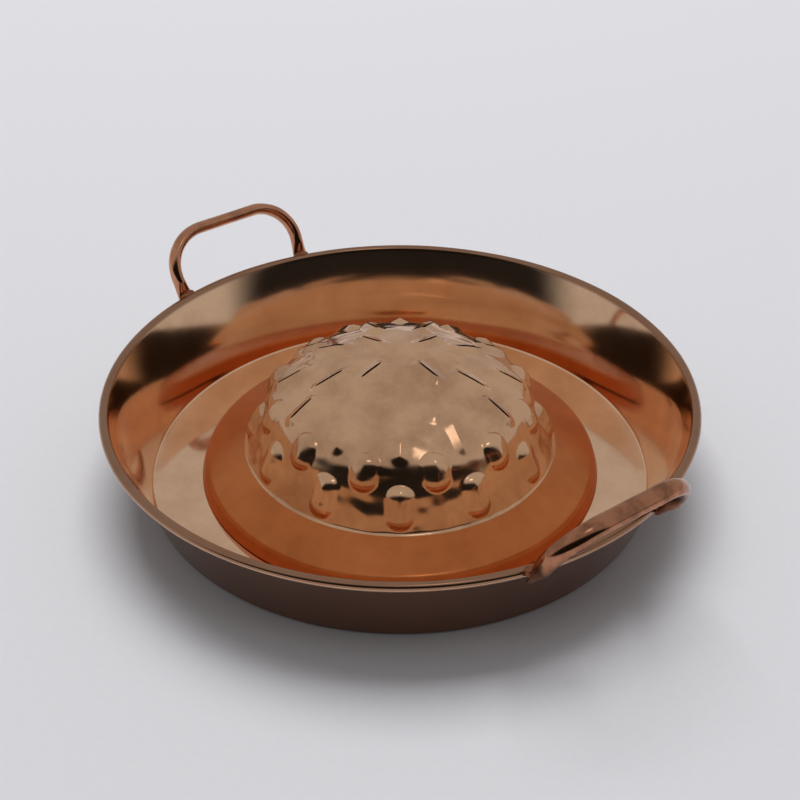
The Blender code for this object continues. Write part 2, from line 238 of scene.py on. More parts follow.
def turned_sheet(name: str, profile: np.ndarray, columns: int, wave: float, seed: int) -> bpy.types.Object:
    """Turn a closed sheet section about Z; it starts on the axis above and ends on it below, or is a loop.

    The surface is (r cos a, r sin a, z) plus a slow ripple along the section's normal.

    Args:
        name: Name of the piece.
        profile: Section as rows of radius and height, running down the outside.
        columns: Number of steps round the axis.
        wave: Height of the ripple in metres.
        seed: Seed of the ripple.

    Returns:
        The piece.
    """
    on_axis = profile[0, 0] < 1e-7
    rings = profile[1:-1] if on_axis else profile
    normals = side_normals(profile)[1:-1] if on_axis else side_normals(profile)
    angles = np.arange(columns) * TURN / columns
    circle = np.stack([np.cos(angles), np.sin(angles)], axis=1)
    points = np.empty((len(rings), columns, 3))
    points[..., :2] = rings[:, None, :1] * circle
    points[..., 2] = rings[:, None, 1]
    offset = wave * ripple(points, SHEET_WAVELENGTH, seed)
    points[..., :2] += (offset * normals[:, None, 0])[..., None] * circle
    points[..., 2] = np.maximum(points[..., 2] + offset * normals[:, None, 1], 0.0)
    flat = points.reshape(-1, 3)
    faces = [ring_faces(len(rings), columns, not on_axis)]
    if on_axis:
        flat = np.concatenate([flat, [[0.0, 0.0, profile[0, 1]], [0.0, 0.0, profile[-1, 1]]]])
        ends = [pole_faces(len(flat) - 2, 0, columns, True)]
        ends.append(pole_faces(len(flat) - 1, (len(rings) - 1) * columns, columns, False))
        faces.append(np.concatenate(ends))
    return mesh_object(name, flat, faces)


# Node trees


def linear(code: str) -> tuple[float, float, float, float]:
    """Turn an sRGB hex colour into linear RGBA."""
    values = [int(code[i : i + 2], 16) / 255.0 for i in (1, 3, 5)]
    return (*[v / 12.92 if v <= 0.04045 else ((v + 0.055) / 1.055) ** 2.4 for v in values], 1.0)


def add_node(
    tree: bpy.types.NodeTree, kind: str, inputs: dict | None = None, **settings: object
) -> bpy.types.Node:
    """Add a node with its settings and links.

    Args:
        tree: Tree that gets the node.
        kind: Blender's name of the node type.
        inputs: Values or output sockets for the node's inputs, by name or index.
        settings: Attributes of the node.

    Returns:
        The node.
    """
    node = tree.nodes.new(kind)
    for key, value in settings.items():
        setattr(node, key, value)
    for key, value in (inputs or {}).items():
        if isinstance(value, bpy.types.NodeSocket):
            tree.links.new(value, node.inputs[key])
        else:
            node.inputs[key].default_value = value
    return node


def gray(value: float) -> tuple[float, float, float, float]:
    """Linear grey of a value."""
    return (value, value, value, 1.0)


@dataclass(frozen=True)
class CopperFinish:
    """Copper sheet or rod: a warm mirror dulled by lathe marks, handling and a thin brown oxide.

    The base is what copper reflects head on. Lathe marks are rings about Z, drawn coarser than the
    real 0.1 mm so that they show. Patches of oxide darken the metal and make it rougher. Where a
    piece carries its brown-and-shade attribute, the metal is mixed toward a dull brown and made
    rougher: on the pan's outside this is painted shade, standing for its reflection of the shadowed
    floor, and on the rim it is a plain brown.
    """

    name: str
    metal: str
    oxide: str
    roughness: float
    rough_spread: float
    oxide_share: float
    mark_depth: float
    mark_pitch_mm: float = 0.45
    patch_mm: float = 34.0
    speckle: float = 0.15
    # Brown that the attribute mixes in: painted shade on the pan's outside, plain brown on its rim.
    brown_and_shade_tint: str = "#7A4C36"

    def build(self) -> bpy.types.Material:
        """Make the material.

        Returns:
            The material, which reads Object coordinates only.
        """
        material = bpy.data.materials.new(self.name)
        material.use_nodes = True
        tree = material.node_tree
        shader = tree.nodes["Principled BSDF"]
        place = add_node(tree, "ShaderNodeTexCoord").outputs["Object"]
        marks = self.lathe_marks(tree, place)
        patches = add_node(
            tree,
            "ShaderNodeTexNoise",
            {"Vector": place, "Scale": 1000.0 / self.patch_mm, "Detail": 5.0, "Roughness": 0.62},
        )
        low = -0.5 * self.speckle
        share = add_node(
            tree,
            "ShaderNodeMapRange",
            {"Value": patches.outputs[0], "From Min": 0.40, "From Max": 0.72, "To Min": low},
        )
        share.inputs["To Max"].default_value = low + self.oxide_share
        specks = add_node(tree, "ShaderNodeTexNoise", {"Vector": place, "Scale": 900.0, "Detail": 2.0})
        amount = add_node(
            tree,
            "ShaderNodeMath",
            {0: specks.outputs[0], 1: self.speckle, 2: share.outputs[0]},
            operation="MULTIPLY_ADD",
        )
        tone = add_node(
            tree,
            "ShaderNodeMix",
            {"Factor": amount.outputs[0], "A": linear(self.metal), "B": linear(self.oxide)},
            data_type="RGBA",
            clamp_factor=True,
        )
        # Painted shade: where the attribute is set, the colour is mixed toward the brown and the metal is
        # made rougher.
        brown_and_painted_shade = add_node(tree, "ShaderNodeAttribute", attribute_name="brown_and_painted_shade").outputs["Fac"]
        color = add_node(
            tree,
            "ShaderNodeMix",
            {"Factor": brown_and_painted_shade, "A": tone.outputs["Result"], "B": linear(self.brown_and_shade_tint)},
            data_type="RGBA",
        )
        tree.links.new(color.outputs["Result"], shader.inputs["Base Color"])
        shader.inputs["Metallic"].default_value = 1.0
        wear = add_node(
            tree,
            "ShaderNodeTexNoise",
            {"Vector": place, "Scale": 1000.0 / 22.0, "Detail": 6.0, "Roughness": 0.7},
        )
        rough = self.roughness
        parts = ((wear.outputs[0], self.rough_spread), (marks, self.rough_spread / 2), (brown_and_painted_shade, 0.12))
        for source, weight in parts:
            inputs = {0: source, 1: weight, 2: rough}
            rough = add_node(tree, "ShaderNodeMath", inputs, operation="MULTIPLY_ADD").outputs[0]
        tree.links.new(rough, shader.inputs["Roughness"])
        bump = add_node(tree, "ShaderNodeBump", {"Height": marks, "Distance": self.mark_depth * MM})
        tree.links.new(bump.outputs[0], shader.inputs["Normal"])
        return material

    def lathe_marks(self, tree: bpy.types.NodeTree, place: bpy.types.NodeSocket) -> bpy.types.NodeSocket:
        """Rings about Z: noise that changes fast with radius and height and slowly round the axis."""
        split = add_node(tree, "ShaderNodeSeparateXYZ", {0: place}).outputs
        level = add_node(tree, "ShaderNodeVectorMath", {0: place, 1: (1.0, 1.0, 0.0)}, operation="MULTIPLY")
        radius = add_node(tree, "ShaderNodeVectorMath", {0: level.outputs[0]}, operation="LENGTH")
        inputs = {0: split[2], 1: 0.8, 2: radius.outputs["Value"]}
        across = add_node(tree, "ShaderNodeMath", inputs, operation="MULTIPLY_ADD")
        joined = add_node(tree, "ShaderNodeCombineXYZ", {0: across.outputs[0], 1: split[0], 2: split[1]})
        scales = (1000.0 / self.mark_pitch_mm, 26.0, 26.0)
        inputs = {0: joined.outputs[0], 1: scales}
        scaled = add_node(tree, "ShaderNodeVectorMath", inputs, operation="MULTIPLY")
        inputs = {"Vector": scaled.outputs[0], "Scale": 1.0, "Detail": 3.0, "Roughness": 0.6}
        return add_node(tree, "ShaderNodeTexNoise", inputs).outputs[0]


# Drawn sheet, bright inside: a clear warm mirror with faint rings
PAN_FINISH = CopperFinish("drawn_copper_sheet", "#F4CAA6", "#A35A30", 0.02, 0.09, 0.26, 0.003)
# Pressed sheet that has been heated: a softer mirror under brown clouds
DOME_FINISH = CopperFinish(
    "pressed_copper_dome", "#EABB94", "#80492F", 0.05, 0.13, 0.46, 0.006, patch_mm=26.0
)
# The skirt: an orange satin, more orange and rougher than the dome
SKIRT_FINISH = CopperFinish("turned_copper_skirt", "#D27C46", "#8E441E", 0.16, 0.12, 0.40, 0.010)
# Drawn rod worn by hands: brown with a bright line along it
HANDLE_FINISH = CopperFinish("drawn_copper_rod", "#CF9270", "#5A3020", 0.03, 0.12, 0.60, 0.003, patch_mm=16.0)
# The darker of the two rods: its patches are nearly black
DARK_HANDLE_FINISH = CopperFinish(
    "smoked_copper_rod", "#B97F60", "#3A211B", 0.04, 0.12, 0.85, 0.004, patch_mm=14.0
)
# Braze wiped while it was soft: dull and grainy
BRAZE_FINISH = CopperFinish("wiped_copper_braze", "#A87050", "#4A2C20", 0.22, 0.25, 0.60, 0.010, patch_mm=6.0)
# Drawn steel: a grey satin, seen only inside the open curl
WIRE_FINISH = CopperFinish("drawn_steel_wire", "#A9A9AB", "#5B5550", 0.30, 0.15, 0.40, 0.004, patch_mm=10.0)


def dress(obj: bpy.types.Object, material: bpy.types.Material) -> None:
    """Give a piece one material."""
    obj.data.materials.clear()
    obj.data.materials.append(material)


def fit(obj: bpy.types.Object, body: Body, slot: Slot, *nodes: str) -> None:
    """Ride a piece on its body and hide the nodes that it stands for.

    Args:
        obj: The piece.
        body: Body that it rides on.
        slot: Slot of its finish; not used.
        nodes: CAD nodes that it replaces.
    """
    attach(obj, body.value)
    if nodes:
        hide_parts(*nodes)
    LOG.info("piece %s: %d faces on %s", obj.name, len(obj.data.polygons), body.value)


@dataclass
class PanSheet:
    """The flared pan: one sheet with a flat floor, a tight corner, a slightly bowed wall and a rolled rim."""

    sheet: float = 1.2 * MM
    floor_radius: float = 126.6 * MM
    corner_radius: float = 1.2 * MM
    wall_bow: float = math.radians(2.5)
    rim_radius: float = 150.0 * MM
    rim_height: float = 45.9 * MM
    bead_radius: float = 2.35 * MM
    curl_end: float = math.radians(-125.0)
    # Painted shade: the outside of the sheet is mixed this far toward brown, standing for its reflection of
    # the shadowed floor; the top of the rim is mixed toward the same brown.
    outside_painted_shade: float = 0.85
    rim_brown: float = 0.75
    columns: int = 360

    def bead(self) -> tuple[float, float]:
        """Centre of the rolled rim in the (radius, height) plane."""
        return (self.rim_radius - self.bead_radius, self.rim_height)

    def midline(self) -> np.ndarray:
        """Middle of the sheet from the axis over the floor, up the wall and round the curl.

        The wall is a parabola. It leans less than the common tangent of corner and curl at its foot,
        and as much more at its rim.

        Returns:
            Points as rows of radius and height.
        """
        bead = self.bead()
        corner = (self.floor_radius, self.sheet + self.corner_radius)
        curl_radius = self.bead_radius - self.sheet / 2
        heel_radius = self.corner_radius + self.sheet / 2
        run = (bead[0] - corner[0], bead[1] - corner[1])
        lean = math.atan2(*run) - math.asin((curl_radius + heel_radius) / math.hypot(*run))
        foot_lean, rim_lean = lean - self.wall_bow, lean + self.wall_bow
        floor = respaced(np.array([[0.0, self.sheet / 2], [self.floor_radius, self.sheet / 2]]), 4.0 * MM)
        heel = arc(corner, heel_radius, -math.pi / 2, -foot_lean, 12)
        curl = arc(bead, curl_radius, math.pi - rim_lean, self.curl_end, 30)
        up = np.array([math.sin(foot_lean), math.cos(foot_lean)])
        along = np.array([math.sin(rim_lean), math.cos(rim_lean)])
        gap = curl[0] - heel[-1]
        reach = (gap[0] * along[1] - gap[1] * along[0]) / (up[0] * along[1] - up[1] * along[0])
        wall = respaced(parabola(heel[-1], heel[-1] + reach * up, curl[0], 40), 1.6 * MM)
        return np.concatenate([floor[:-1], heel, wall[1:-1], curl])

    def section(self) -> np.ndarray:
        """Outline of the sheet: its midline shifted half a thickness each way and joined at the curl."""
        middle = self.midline()
        normals = side_normals(middle)
        inside = middle + normals * self.sheet / 2
        outside = middle - normals * self.sheet / 2
        inside[0, 0] = outside[0, 0] = 0.0
        return np.concatenate([inside, outside[::-1]])

    def brown_and_shade_tint(self, pan: bpy.types.Object) -> None:
        """Store how far each vertex is mixed toward brown: the whole outside of the sheet as painted shade,
        and the top of the rolled rim as plain brown.
        """
        rows = self.section()[1:-1]
        outside = np.where(np.arange(len(rows)) < len(rows) // 2, 0.0, self.outside_painted_shade)
        rim = self.rim_brown * smooth_step(rows[:, 1], self.rim_height - 1.6 * MM, self.rim_height)
        top = rows[:, 1] > self.rim_height
        poles = (0.0, self.outside_painted_shade)
        values = np.append(np.repeat(np.where(top, rim, outside), self.columns), poles)
        attribute = pan.data.attributes.new("brown_and_painted_shade", "FLOAT", "POINT")
        attribute.data.foreach_set("value", values.astype(np.float32))

    def build(self) -> None:
        """Make and dress the pan, and finish the wire that its rim is rolled round."""
        pan = turned_sheet("pan_sheet", self.section(), self.columns, 0.06 * MM, 7)
        self.brown_and_shade_tint(pan)
        dress(pan, PAN_FINISH.build())
        fit(pan, Body.PAN, Slot.PAN_COPPER, "pan_body")
        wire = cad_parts["rim_wire"]
        dress_node(wire, WIRE_FINISH.build())


def dress_node(node: bpy.types.Object, material: bpy.types.Material) -> None:
    """Put a material into the slots of a carried-over CAD node."""
    for slot in node.material_slots:
        slot.material = material
    if not node.material_slots:
        node.data.materials.append(material)
    LOG.info("node %s keeps its own mesh", node.name)


@dataclass(frozen=True)
class BumpRing:
    """One ring of equal pressed bumps; angles in degrees, the rest in metres."""

    count: int
    first: float
    ridge_start: float
    ridge_end: float
    half_width: float
    height: float
    cap_in: float
    cap_out: float
    form: BumpForm
    slit_columns: int = 0
    closed: tuple[int, ...] = ()


def slit_ring(
    count: int,
    first: float,
    ridge: tuple[float, float],
    height: float,
    columns: int,
    closed: tuple[int, ...] = (),
) -> BumpRing:
    """A ring of slit tents, all as wide; ridge ends and height in millimetres."""
    sizes = (ridge[0] * MM, ridge[1] * MM, 5.0 * MM, height * MM, 3.6 * MM, 4.4 * MM)
    return BumpRing(count, first, *sizes, BumpForm.SLIT_TENT, columns, closed)


def pill_ring(
    count: int, first: float, ridge: tuple[float, float], height: float, cap: float, form: BumpForm
) -> BumpRing:
    """A ring of pills with equal ends; ridge ends, height and cap in millimetres."""
    sizes = (ridge[0] * MM, ridge[1] * MM, 7.0 * MM, height * MM, cap * MM, cap * MM)
    return BumpRing(count, first, *sizes, form)


@dataclass
class GrillDome:
    """The lift-out dome: crown and flank with their bumps and slits, the skirt and the turned-down edge."""

    sheet: float = 1.2 * MM
    turn: float = math.radians(53.0)
    span: float = 77.0 * MM
    crown: float = 50.5 * MM
    shoulder_share: float = 0.8117
    shoulder_bend: float = 3.2 * MM
    crease: tuple[float, float] = (78.5 * MM, 17.5 * MM)
    crease_bend: float = 1.2 * MM
    crest: tuple[float, float] = (99.9 * MM, 9.0 * MM)
    crest_round: float = 2.2 * MM
    foot: tuple[float, float] = (102.1 * MM, 1.85 * MM)
    slit_half: float = 0.6 * MM
    closed_share: float = 0.55
    columns: int = 480
    row_step: float = 0.56 * MM
    rings: tuple[BumpRing, ...] = (
        slit_ring(4, 45.0, (13.0, 26.0), 2.3, 3),
        slit_ring(8, 22.5, (30.0, 44.0), 2.3, 1, (5, 6)),
        slit_ring(12, 0.0, (48.5, 60.0), 2.4, 1, (8, 9, 10)),
        pill_ring(12, 15.0, (64.0, 67.2), 3.0, 6.4, BumpForm.PILL),
        pill_ring(12, 0.0, (71.2, 74.8), 3.3, 6.6, BumpForm.CREASED_PILL),
    )
    dent_height: float = 0.20 * MM
    dent_wavelength: float = 19.0 * MM
    pit_height: float = 0.07 * MM
    pit_wavelength: float = 7.5 * MM
    line: np.ndarray = field(init=False)
    lengths: np.ndarray = field(init=False)

    def __post_init__(self) -> None:
        """Work out the meridian once."""
        self.line = self.meridian()
        self.lengths = run_lengths(self.line)

    def meridian(self) -> np.ndarray:
        """Outside of the sheet from the top to past the crease.

        It is an ellipse, a tight bend, a straight flank and the bend into the skirt.

        Returns:
            Points as rows of radius and height.
        """
        crease = np.array(self.crease)
        start = math.acos(self.shoulder_share)
        angles = np.linspace(math.pi / 2, start, 160)
        cap = np.stack([self.span * np.cos(angles), crease[1] + self.crown * np.sin(angles)], axis=1)
        cap[0, 0] = 0.0
        fall = math.atan2(self.crown * math.cos(start), self.span * math.sin(start))
        corner = cap[-1] + self.shoulder_bend * np.array([math.cos(fall), -math.sin(fall)])
        flank = (crease - corner) / np.linalg.norm(crease - corner)
        shoulder = parabola(cap[-1], corner, corner + self.shoulder_bend * flank, 60)
        reach = self.crease_bend
        foot = parabola(crease - reach * flank, crease, crease + reach * self.skirt_way(), 30)
        straight = np.linspace(shoulder[-1], foot[0], 60)
        return np.concatenate([cap, shoulder[1:], straight[1:], foot[1:]])

    def skirt_way(self) -> np.ndarray:
        """Unit direction down the skirt in the (radius, height) plane."""
        run = np.array(self.crest) - np.array(self.crease)
        return run / np.linalg.norm(run)

    def length_at(self, radius: float) -> float:
        """Length run from the top to a plan radius."""
        return float(np.interp(radius, self.line[:, 0], self.lengths))

    def rows(self) -> np.ndarray:
        """Lengths of the grid's rows, spaced evenly between the ends of the slits."""
        stops = [0.0]
        for ring in self.rings:
            if ring.slit_columns:
                stops += [self.length_at(ring.ridge_start), self.length_at(ring.ridge_end)]
        stops.append(float(self.lengths[-1]))
        parts = []
        for low, high in zip(stops, stops[1:]):
            count = max(int(round((high - low) / self.row_step)), 1)
            parts.append(np.linspace(low, high, count + 1)[:-1])
        return np.concatenate(parts + [[stops[-1]]])

    def tent(self, along: np.ndarray, across: np.ndarray, ring: BumpRing) -> np.ndarray:
        """Height of a bump: a function of d, the distance from its ridge as a share of its own size.

        A slit tent is H (1 - d) with soft edges. A pill is H (1 - d^2)^0.62 with a share of (1 - |across|)
        in it, which leaves a ridge along its middle; a creased pill has a larger share and a sharper ridge.

        Args:
            along: Length past the middle of the ridge, towards the rim of the dome.
            across: Distance beside the ridge.
            ring: The bump's sizes.

        Returns:
            Height over the plain dome in metres.
        """
        half = (self.length_at(ring.ridge_end) - self.length_at(ring.ridge_start)) / 2
        past = np.maximum(np.abs(along) - half, 0.0)
        cap = np.where(along < 0.0, ring.cap_in, ring.cap_out)
        beside = np.abs(across) / ring.half_width
        distance = np.hypot(beside, past / cap)
        if ring.form is BumpForm.SLIT_TENT:
            height = soft_ramp(1.0 - distance, 0.16) - 0.012
        else:
            roof = np.clip(1.0 - beside, 0.0, 1.0)
            share = 0.45 if ring.form is BumpForm.CREASED_PILL else 0.35
            height = soft_ramp(1.0 - distance * distance, 0.05) ** 0.62 - 0.02
            height = height * (1.0 - share + share * roof)
        return ring.height * np.maximum(height, 0.0) * (1.0 - smooth_step(distance, 1.15, 1.6))

    def open_bearings(self, ring: BumpRing) -> np.ndarray:
        """Angles of a ring's slit bumps before the dome is turned into the frame."""
        index = np.array([i for i in range(ring.count) if i not in ring.closed])
        return np.radians(ring.first) + index * TURN / ring.count

    def is_closed(self, angles: np.ndarray, ring: BumpRing) -> np.ndarray:
        """Whether the nearest bump of a ring is one that was left without a slit."""
        index = np.round((angles - math.radians(ring.first)) / TURN * ring.count).astype(int) % ring.count
        return np.isin(index, ring.closed)

    def nearest(self, angles: np.ndarray, ring: BumpRing) -> np.ndarray:
        """Angle from the nearest bump of a ring."""
        step = TURN / ring.count
        return (angles - math.radians(ring.first) + step / 2) % step - step / 2

    def slit_shape(self, along: np.ndarray, half: float) -> np.ndarray:
        """Half-width of a slit: full along its middle and nearly closed at both ends."""
        share = np.clip(np.abs(along) / half, 0.0, 1.0)
        return self.slit_half * (0.22 + 0.78 * np.sqrt(1.0 - share**4))

    def bent_angles(self, rows: np.ndarray, radii: np.ndarray, columns: int, share: int) -> np.ndarray:
        """Angles of the grid, with the columns beside each slit moved onto its edges.

        The move is the difference between the slit's half-width and the column's distance. It fades as
        exp(-x^2) beside the slit and past its ends.

        Args:
            rows: Lengths of the rows.
            radii: Plan radii of the rows.
            columns: Number of columns.
            share: How many full-grid columns one of these is worth.

        Returns:
            Angles by row and column.
        """
        plain = np.arange(columns) * TURN / columns
        angles = np.repeat(plain[None, :], len(rows), axis=0)
        for ring in self.rings:
            if not ring.slit_columns:
                continue
            count = max(ring.slit_columns // share, 1)
            low, high = self.length_at(ring.ridge_start), self.length_at(ring.ridge_end)
            middle, half = (low + high) / 2, (high - low) / 2
            along = rows - middle
            past = np.maximum(np.abs(along) - half, 0.0)
            edge = count * TURN / columns * radii
            wanted = self.slit_shape(along, half)
            fade = np.exp(-((past / (0.9 * MM)) ** 2))
            across = self.nearest(angles, ring) * radii[:, None]
            shift = (wanted - edge)[:, None] * fade[:, None]
            inner = across / np.maximum(edge[:, None], 1e-9)
            outer = np.sign(across) * np.exp(-(((np.abs(across) - edge[:, None]) / (1.3 * MM)) ** 2))
            weight = np.where(np.abs(across) <= edge[:, None], inner, outer)
            move = np.where(self.is_closed(angles, ring), 0.0, shift * weight)
            angles = angles + np.where(radii[:, None] > 1e-6, move / np.maximum(radii[:, None], 1e-6), 0.0)
        return angles

    def slit_mask(self, rows: np.ndarray, columns: int, share: int) -> np.ndarray:
        """Which faces of the grid lie in a slit.

        Args:
            rows: Lengths of the rows.
            columns: Number of columns.
            share: How many full-grid columns one of these is worth.

        Returns:
            True for each face that is cut away, by row and column.
        """
        cut = np.zeros((len(rows) - 1, columns), dtype=bool)
        middles = (rows[:-1] + rows[1:]) / 2
        for ring in self.rings:
            if not ring.slit_columns:
                continue
            count = max(ring.slit_columns // share, 1)
            low, high = self.length_at(ring.ridge_start), self.length_at(ring.ridge_end)
            inside = (middles > low) & (middles < high)
            centers = np.round(self.open_bearings(ring) / TURN * columns).astype(int)
            spread = np.arange(-count, count)
            picked = (centers[:, None] + spread[None, :]).ravel() % columns
            cut[np.ix_(np.flatnonzero(inside), picked)] = True
        return cut

    def surface(
        self, rows: np.ndarray, columns: int, share: int, depth: float
    ) -> tuple[np.ndarray, np.ndarray]:
        """Points and outward normals of the dome, off its plain form by the bumps and down by a depth.

        Args:
            rows: Lengths of the rows.
            columns: Number of columns.
            share: How many full-grid columns one of these is worth.
            depth: Distance below the outside.

        Returns:
            Points and normals by row and column.
        """
        radii = np.interp(rows, self.lengths, self.line[:, 0])
        heights = np.interp(rows, self.lengths, self.line[:, 1])
        ahead = np.stack([np.interp(rows + 0.3 * MM, self.lengths, self.line[:, i]) for i in (0, 1)], axis=1)
        behind = np.stack([np.interp(rows - 0.3 * MM, self.lengths, self.line[:, i]) for i in (0, 1)], axis=1)
        along = ahead - behind
        along /= np.linalg.norm(along, axis=1, keepdims=True)
        lean = np.stack([-along[:, 1], along[:, 0]], axis=1)
        angles = self.bent_angles(rows, radii, columns, share)
        lift = np.zeros_like(angles)
        for ring in self.rings:
            low, high = self.length_at(ring.ridge_start), self.length_at(ring.ridge_end)
            beside = self.nearest(angles, ring) * radii[:, None]
            height = self.tent((rows - (low + high) / 2)[:, None], beside, ring)
            lift = np.maximum(lift, height * np.where(self.is_closed(angles, ring), self.closed_share, 1.0))
        circle = np.stack([np.cos(angles + self.turn), np.sin(angles + self.turn)], axis=-1)
        upward = np.broadcast_to(lean[:, None, 1:], (*angles.shape, 1))
        level = np.broadcast_to(heights[:, None, None], (*angles.shape, 1))
        normals = np.concatenate([circle * lean[:, None, :1], upward], axis=-1)
        points = np.concatenate([circle * radii[:, None, None], level], axis=-1)
        dents = self.dent_height * ripple(points, self.dent_wavelength, 3)
        dents = dents + self.pit_height * ripple(points, self.pit_wavelength, 4)
        dents *= 1.0 - smooth_step(rows, self.lengths[-1] - 3.0 * MM, self.lengths[-1])[:, None]
        points = points + normals * (lift + dents - depth)[..., None]
        return points, normals

    def slit_walls(self, cut: np.ndarray, columns: int, start: int) -> tuple[np.ndarray, np.ndarray]:
        """Faces down the edges of the slits, between the outside and a lowered copy of its edge vertices.

        Args:
            cut: Faces that are cut away.
            columns: Number of columns.
            start: Index of the first lowered vertex.

        Returns:
            Quads, and the outside vertices that the lowered ones copy.
        """
        up = np.zeros_like(cut)
        up[1:] = cut[:-1]
        down = np.zeros_like(cut)
        down[:-1] = cut[1:]
        left, right = np.roll(cut, 1, axis=1), np.roll(cut, -1, axis=1)
        edges = []
        for beyond, first, second in (
            (up, (0, 1), (0, 0)),
            (down, (1, 0), (1, 1)),
            (left, (0, 0), (1, 0)),
            (right, (1, 1), (0, 1)),
        ):
            i, j = np.nonzero(cut & ~beyond)
            ends = [(i + a) * columns + (j + b) % columns for a, b in (first, second)]
            edges.append(np.stack(ends, axis=1))
        edges = np.concatenate(edges)
        used, index = np.unique(edges, return_inverse=True)
        lowered = index.reshape(edges.shape) + start
        quads = np.stack([edges[:, 0], edges[:, 1], lowered[:, 1], lowered[:, 0]], axis=1)
        return quads, used

    def shell(self, name: str, columns: int, share: int, step: float, depth: float) -> bpy.types.Object:
        """One side of the dome's sheet, with its slits cut and, on the outside, their walls.

        Args:
            name: Name of the piece.
            columns: Number of columns.
            share: How many full-grid columns one of these is worth.
            step: Distance between rows.
            depth: Distance below the outside; 0 is the outside itself.

        Returns:
            The piece.
        """
        self.row_step = step
        rows = self.rows()
        points, normals = self.surface(rows, columns, share, depth)
        cut = self.slit_mask(rows, columns, share)
        flat = points.reshape(-1, 3)
        quads = ring_faces(len(rows), columns, False)[columns:]
        quads = quads[~cut[1:].ravel()]
        triangles = pole_faces(0, columns, columns, True)
        if depth > 0.0:
            quads, triangles = quads[:, ::-1], triangles[:, ::-1]
            return self.closed_pole(name, flat, quads, triangles, columns)
        walls, used = self.slit_walls(cut, columns, len(flat))
        lowered = flat[used] - normals.reshape(-1, 3)[used] * self.sheet
        flat = np.concatenate([flat, lowered])
        return self.closed_pole(name, flat, np.concatenate([quads, walls]), triangles, columns)

    def closed_pole(
        self, name: str, flat: np.ndarray, quads: np.ndarray, triangles: np.ndarray, columns: int
    ) -> bpy.types.Object:
        """Drop the spare vertices of the top row, all but the first, and make the object."""
        keep = np.ones(len(flat), dtype=bool)
        keep[1:columns] = False
        fresh = np.cumsum(keep) - 1
        return mesh_object(name, flat[keep], [fresh[quads], fresh[triangles]])

    def skirt_section(self) -> np.ndarray:
        """Closed outline of the skirt's sheet from the crease over the crest to the foot and back inside.

        Its upper end starts a hair below the end of the crown's sheet, so the two never lie in one plane.
        """
        crest, foot = np.array(self.crest), np.array(self.foot)
        slope = self.skirt_way()
        edge = (foot - crest) / np.linalg.norm(foot - crest)
        bend = parabola(crest - slope * self.crest_round, crest, crest + edge * self.crest_round, 14)
        seam = self.line[-1]
        below = seam - slope * 0.6 * MM + np.array([slope[1], -slope[0]]) * 0.08 * MM
        upper = respaced(np.array([seam, bend[0]]), 1.0 * MM)[:-1]
        lower = respaced(np.array([bend[-1], foot]), 0.8 * MM)[1:]
        outside = np.concatenate([below[None, :], upper, bend, lower])
        inside = outside - side_normals(outside) * self.sheet
        return np.concatenate([outside, inside[::-1]])

    def build(self) -> None:
        """Make and dress the outside, the underside and the skirt."""
        copper = DOME_FINISH.build()
        outside = self.shell("dome_outside", self.columns, 1, 0.56 * MM, 0.0)
        underside = self.shell("dome_underside", self.columns // 2, 2, 1.0 * MM, self.sheet)
        skirt = turned_sheet("dome_skirt", self.skirt_section(), 360, 0.03 * MM, 11)
        dress(outside, copper)
        dress(underside, copper)
        dress(skirt, SKIRT_FINISH.build())
        fit(outside, Body.DOME, Slot.DOME_COPPER, "grill_dome")
        fit(underside, Body.DOME, Slot.DOME_COPPER)
        fit(skirt, Body.DOME, Slot.DOME_COPPER)


